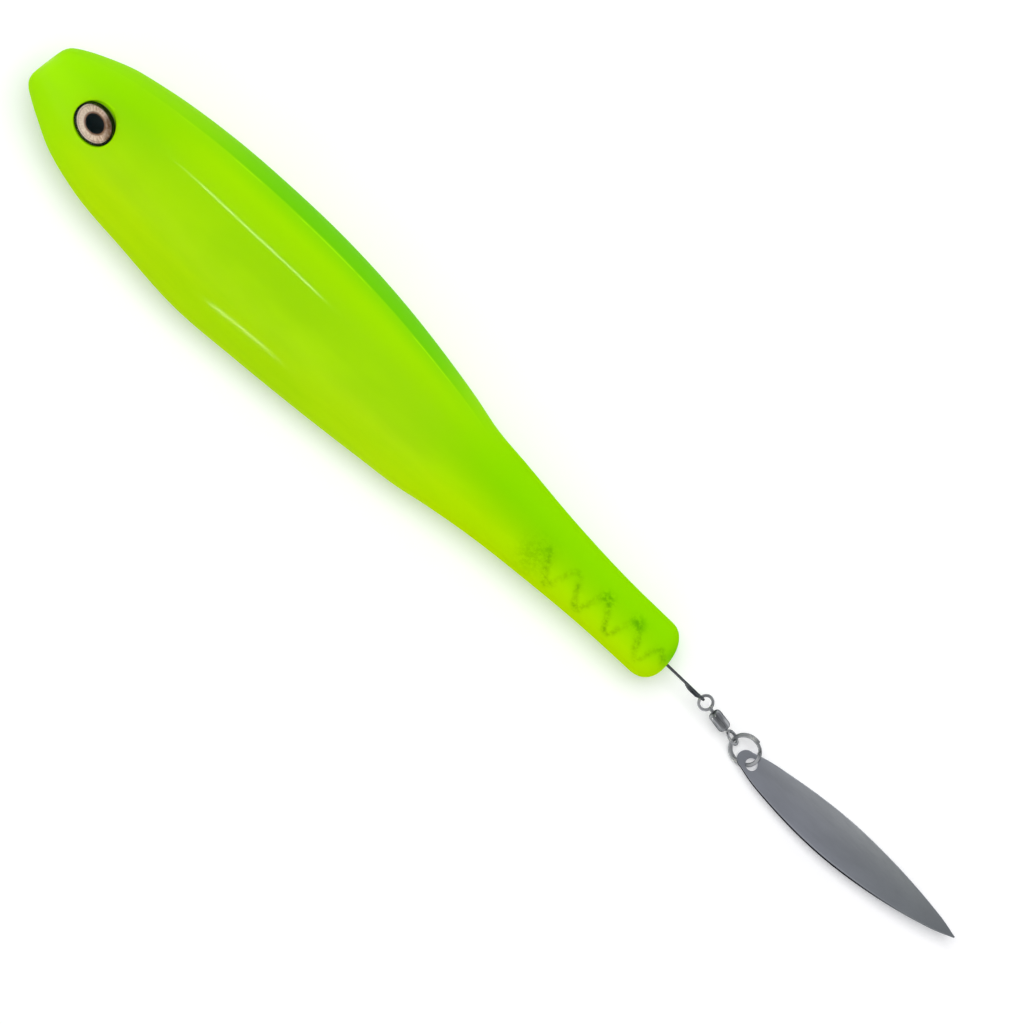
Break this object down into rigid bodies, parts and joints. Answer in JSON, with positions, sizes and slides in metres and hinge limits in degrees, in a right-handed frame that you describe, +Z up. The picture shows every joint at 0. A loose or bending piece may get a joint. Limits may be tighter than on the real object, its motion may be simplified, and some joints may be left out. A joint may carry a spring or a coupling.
{
  "type": "soft bodied tail spinner lure",
  "caption": "Soft fish-shaped lure body with domed eyes, a corkscrew wire in its tail and a willow-leaf spinner blade on a swivel.",
  "frame": {"origin": "on the table under the middle of the lure as it lies on its right side", "axes": "+X from the nose to the tail, +Y towards the back of the fish, +Z up from the table, out of the left side"},
  "size_m": [0.2584, 0.0344, 0.0253],
  "materials": {
    "soft_plastic": "glossy translucent chartreuse",
    "eye_adhesive": "matte",
    "eye_foil": "printed foil, tan iris and black pupil",
    "eye_dome": "clear gloss",
    "wire_steel": "dark satin wire",
    "swivel_nickel": "black nickel",
    "ring_nickel": "black nickel",
    "blade_nickel": "black nickel, lightly brushed"
  },
  "bodies": {
    "lure_body": {"soft_body": "soft_plastic", "left_eye_pad": "eye_adhesive", "left_eye_foil": "eye_foil", "left_eye_dome": "eye_dome", "right_eye_pad": "eye_adhesive", "right_eye_foil": "eye_foil", "right_eye_dome": "eye_dome", "tail_screw": "wire_steel"},
    "front_eye": {"swivel_front_eye": "swivel_nickel"},
    "barrel": {"swivel_barrel": "swivel_nickel"},
    "rear_eye": {"swivel_rear_eye": "swivel_nickel"},
    "ring": {"split_ring": "ring_nickel"},
    "blade": {"willow_blade": "blade_nickel"}
  },
  "joints": [
    {"name": "front_eye_swing", "type": "hinge", "parent": "lure_body", "child": "front_eye", "pos_m": [0.05844, -0.00055, 0.00537], "axis": [0.2957, 0, 0.9553], "range_deg": [-80, 80]},
    {"name": "barrel_spin", "type": "hinge", "parent": "front_eye", "child": "barrel", "pos_m": [0.06171, -0.00106, 0.00436], "axis": [0.9448, -0.1478, -0.2925], "continuous": true},
    {"name": "rear_eye_spin", "type": "hinge", "parent": "barrel", "child": "rear_eye", "pos_m": [0.06587, -0.00171, 0.00308], "axis": [0.9448, -0.1478, -0.2925], "continuous": true},
    {"name": "ring_swing", "type": "hinge", "parent": "rear_eye", "child": "ring", "pos_m": [0.06955, -0.00229, 0.00193], "axis": [0, -0.5, 0.866], "range_deg": [-55, 55]},
    {"name": "blade_swing", "type": "hinge", "parent": "ring", "child": "blade", "pos_m": [0.07467, -0.00335, 0.00154], "axis": [0.4384, 0.7784, 0.4494], "range_deg": [-70, 70]}
  ]
}
